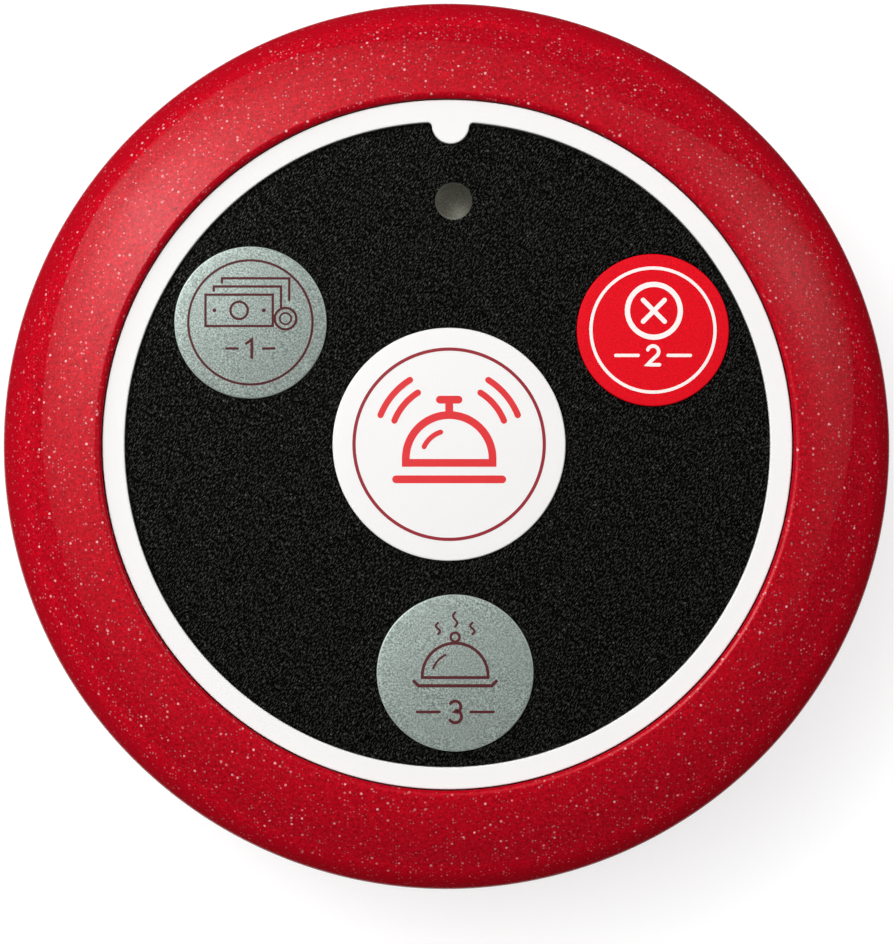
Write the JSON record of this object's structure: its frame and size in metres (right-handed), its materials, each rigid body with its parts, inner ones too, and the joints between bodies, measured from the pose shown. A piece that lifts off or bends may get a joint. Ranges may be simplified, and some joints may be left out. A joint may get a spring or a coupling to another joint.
{
  "type": "restaurant pager",
  "caption": "Round table call button: four sprung keys on a black film face in a white rim and a wide convex red ring, with a coin cell behind a turning cap in the underside.",
  "frame": {"origin": "centre of the plane that the feet stand on", "axes": "+Z out of the key face, the shortest extent; +Y from the centre to the indicator lamp; +X to the right of a person who reads the face"},
  "size_m": [0.06, 0.06, 0.018],
  "materials": {
    "red_lacquer": "deep red lacquer with fine glitter under a clear coat",
    "white_plastic": "white moulded plastic, satin to gloss",
    "black_film": "black printed film with a fine raised grain",
    "clear_film": "unprinted grained film, smoky",
    "white_key": "white printed film, satin",
    "grey_key": "grey-green printed film with a faint metallic grain",
    "red_key": "bright red printed film, satin",
    "ivory_plastic": "plain moulded plastic",
    "black_plastic": "black moulded plastic",
    "tinned_metal": "tinned sheet metal",
    "board_laminate": "green solder mask on glass laminate",
    "lamp_resin": "pale lamp resin",
    "clear_plastic": "clear moulded plastic",
    "tan_ceramic": "tan ceramic chips",
    "copper_wire": "bare copper wire",
    "steel_can": "nickel-plated steel can",
    "spring_contact": "spring bronze",
    "screw_steel": "zinc-plated steel",
    "black_rubber": "matt black rubber"
  },
  "bodies": {
    "casing": {"bezel_ring": "red_lacquer", "face_rim": "white_plastic", "top_housing": "white_plastic", "overlay_film": "black_film", "led_window": "clear_film", "call_switch_base": "black_plastic", "pay_switch_base": "black_plastic", "cancel_switch_base": "black_plastic", "order_switch_base": "black_plastic", "call_switch_cover": "tinned_metal", "pay_switch_cover": "tinned_metal", "cancel_switch_cover": "tinned_metal", "order_switch_cover": "tinned_metal", "call_switch_dome": "spring_contact", "pay_switch_dome": "spring_contact", "cancel_switch_dome": "spring_contact", "order_switch_dome": "spring_contact", "switch_terminals": "tinned_metal", "circuit_board": "board_laminate", "led": "lamp_resin", "light_pipe": "clear_plastic", "encoder_chip": "black_plastic", "rf_resonator": "tinned_metal", "rf_transistor": "black_plastic", "chip_capacitors": "tan_ceramic", "chip_resistors": "black_plastic", "antenna_wire": "copper_wire", "coin_cell": "steel_can", "plus_contact": "spring_contact", "minus_contact": "spring_contact", "base_shell": "white_plastic", "seal_ring": "black_rubber", "case_screws": "screw_steel", "board_screws": "screw_steel", "foot_pads": "black_rubber"},
    "call_button": {"call_key": "white_key", "call_plunger": "ivory_plastic", "call_switch_stem": "black_plastic"},
    "pay_button": {"pay_key": "grey_key", "pay_plunger": "ivory_plastic", "pay_switch_stem": "black_plastic"},
    "cancel_button": {"cancel_key": "red_key", "cancel_plunger": "ivory_plastic", "cancel_switch_stem": "black_plastic"},
    "order_button": {"order_key": "grey_key", "order_plunger": "ivory_plastic", "order_switch_stem": "black_plastic"},
    "cap": {"battery_cap": "white_plastic"}
  },
  "joints": [
    {"name": "call_press", "type": "slide", "parent": "casing", "child": "call_button", "axis": [0, 0, -1], "range_m": [0, 0.0004], "stiffness_N_per_m": 4000, "springref_m": -0.00005, "deforming": ["call_switch_dome"]},
    {"name": "pay_press", "type": "slide", "parent": "casing", "child": "pay_button", "axis": [0, 0, -1], "range_m": [0, 0.0004], "stiffness_N_per_m": 4000, "springref_m": -0.00005, "deforming": ["pay_switch_dome"]},
    {"name": "cancel_press", "type": "slide", "parent": "casing", "child": "cancel_button", "axis": [0, 0, -1], "range_m": [0, 0.0004], "stiffness_N_per_m": 4000, "springref_m": -0.00005, "deforming": ["cancel_switch_dome"]},
    {"name": "order_press", "type": "slide", "parent": "casing", "child": "order_button", "axis": [0, 0, -1], "range_m": [0, 0.0004], "stiffness_N_per_m": 4000, "springref_m": -0.00005, "deforming": ["order_switch_dome"]},
    {"name": "cap_turn", "type": "hinge", "parent": "casing", "child": "cap", "pos_m": [0, 0, 0.0013], "axis": [0, 0, -1], "range_deg": [0, 35]}
  ]
}
